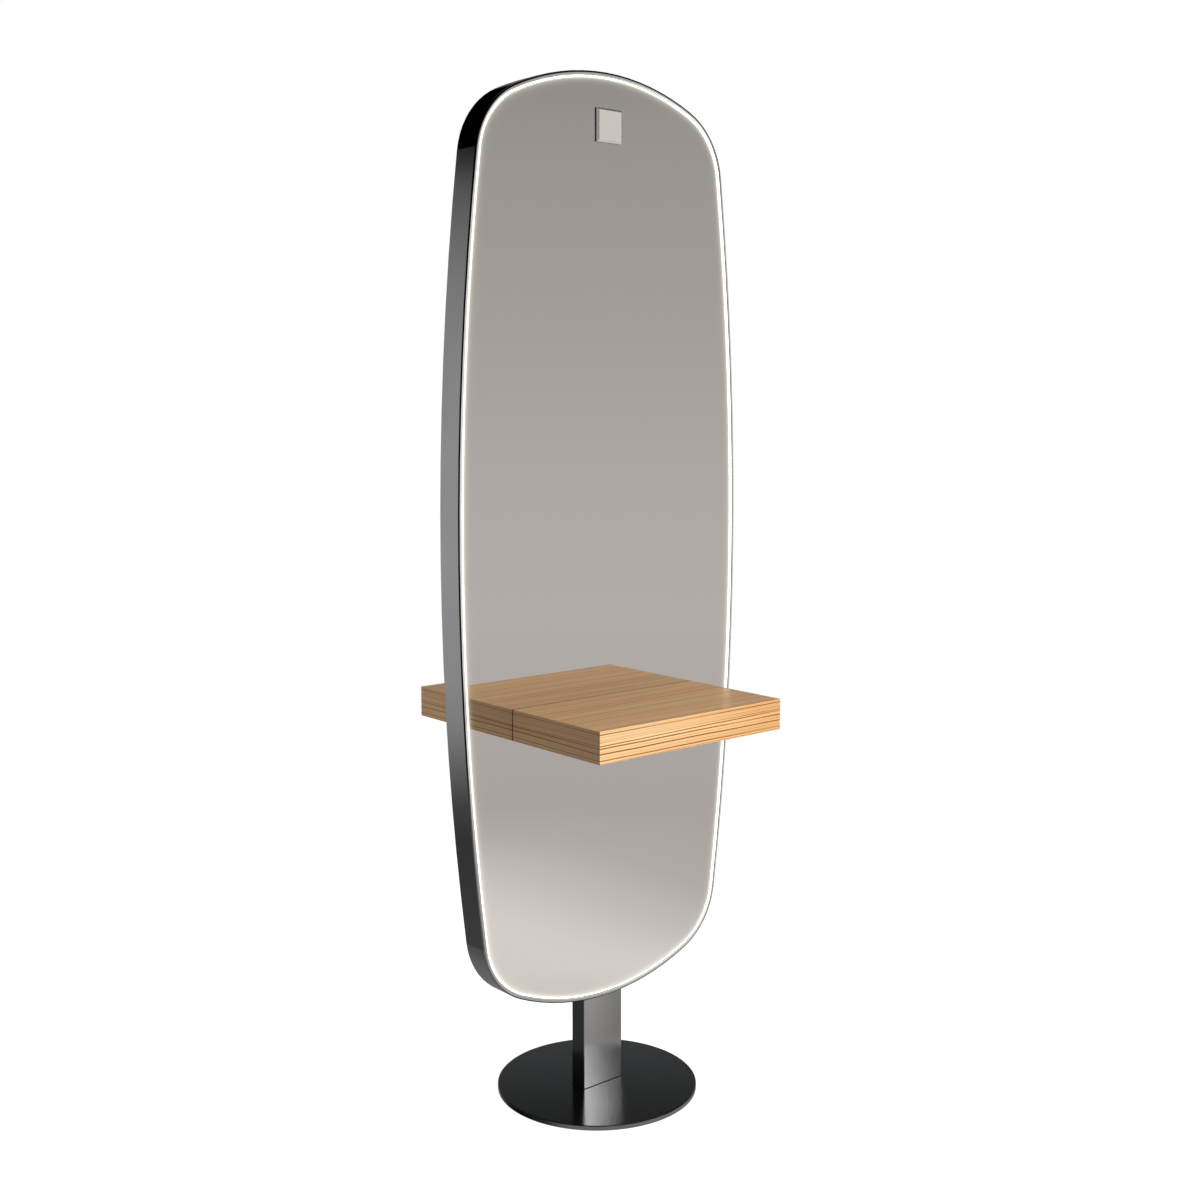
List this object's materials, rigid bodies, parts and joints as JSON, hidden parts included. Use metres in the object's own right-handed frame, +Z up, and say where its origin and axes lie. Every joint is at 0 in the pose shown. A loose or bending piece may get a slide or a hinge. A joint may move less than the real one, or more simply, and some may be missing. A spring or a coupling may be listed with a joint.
{
  "type": "double styling station",
  "caption": "Two-sided salon mirror on a flat post and round base, with a lit rounded frame and a thick wood-veneered shelf on each side.",
  "frame": {"origin": "centre of the base on the floor", "axes": "+Z up, -Y out of the front mirror, +X to the right as the front mirror is faced"},
  "size_m": [0.7, 0.56, 2],
  "materials": {
    "dark_metal": "polished dark nickel",
    "steel": "zinc plated",
    "mirror_glass": "silvered float glass",
    "backing_board": "fibreboard",
    "bare_aluminium": "mill finish",
    "light_strip": "white circuit strip",
    "lit_ring": "opal acrylic",
    "plaque_metal": "satin anodised",
    "veneer": "satin striped veneer",
    "shelf_board": "fibreboard",
    "button_metal": "brushed",
    "driver_case": "moulded",
    "wire_sheath": "flexible sheath",
    "black_plastic": "moulded",
    "black_rubber": "moulded"
  },
  "bodies": {
    "station": {"frame_hoop": "dark_metal", "post": "dark_metal", "base_plate": "steel", "base_screws": "steel", "post_foot_block": "steel", "lower_crossbar": "steel", "shelf_crossbar": "steel", "upper_crossbar": "steel", "shelf_rod_left": "steel", "shelf_rod_right": "steel", "front_shelf_grub_screws": "steel", "rear_shelf_grub_screws": "steel", "front_driver_screws": "steel", "rear_driver_screws": "steel", "front_mirror": "mirror_glass", "rear_mirror": "mirror_glass", "front_backing_panel": "backing_board", "rear_backing_panel": "backing_board", "front_led_channel": "bare_aluminium", "rear_led_channel": "bare_aluminium", "front_lower_cleats": "bare_aluminium", "rear_lower_cleats": "bare_aluminium", "front_upper_cleats": "bare_aluminium", "rear_upper_cleats": "bare_aluminium", "front_led_strip": "light_strip", "rear_led_strip": "light_strip", "front_diffuser": "lit_ring", "rear_diffuser": "lit_ring", "front_plaque": "plaque_metal", "rear_plaque": "plaque_metal", "front_shelf_shell": "veneer", "rear_shelf_shell": "veneer", "front_shelf_core": "shelf_board", "rear_shelf_core": "shelf_board", "front_shelf_back_rail": "shelf_board", "rear_shelf_back_rail": "shelf_board", "front_button_barrel": "button_metal", "rear_button_barrel": "button_metal", "front_button_nut": "button_metal", "rear_button_nut": "button_metal", "front_led_driver": "driver_case", "rear_led_driver": "driver_case", "terminal_block": "driver_case", "front_led_lead": "wire_sheath", "rear_led_lead": "wire_sheath", "front_button_lead": "wire_sheath", "rear_button_lead": "wire_sheath", "front_supply_lead": "wire_sheath", "rear_supply_lead": "wire_sheath", "post_cap": "black_plastic", "cable_grommet": "black_rubber"},
    "cover": {"base_cover": "dark_metal"},
    "front_button": {"front_button_cap": "button_metal"},
    "rear_button": {"rear_button_cap": "button_metal"}
  },
  "joints": [
    {"name": "cover_lift", "type": "slide", "parent": "station", "child": "cover", "axis": [0, 0, 1], "range_m": [0, 0.12]},
    {"name": "front_button_push", "type": "slide", "parent": "station", "child": "front_button", "axis": [-0.2317, 0, 0.9728], "range_m": [0, 0.002], "stiffness_N_per_m": 1500, "springref_m": -0.001},
    {"name": "rear_button_push", "type": "slide", "parent": "station", "child": "rear_button", "axis": [0.2317, 0, 0.9728], "range_m": [0, 0.002], "stiffness_N_per_m": 1500, "springref_m": -0.001}
  ]
}
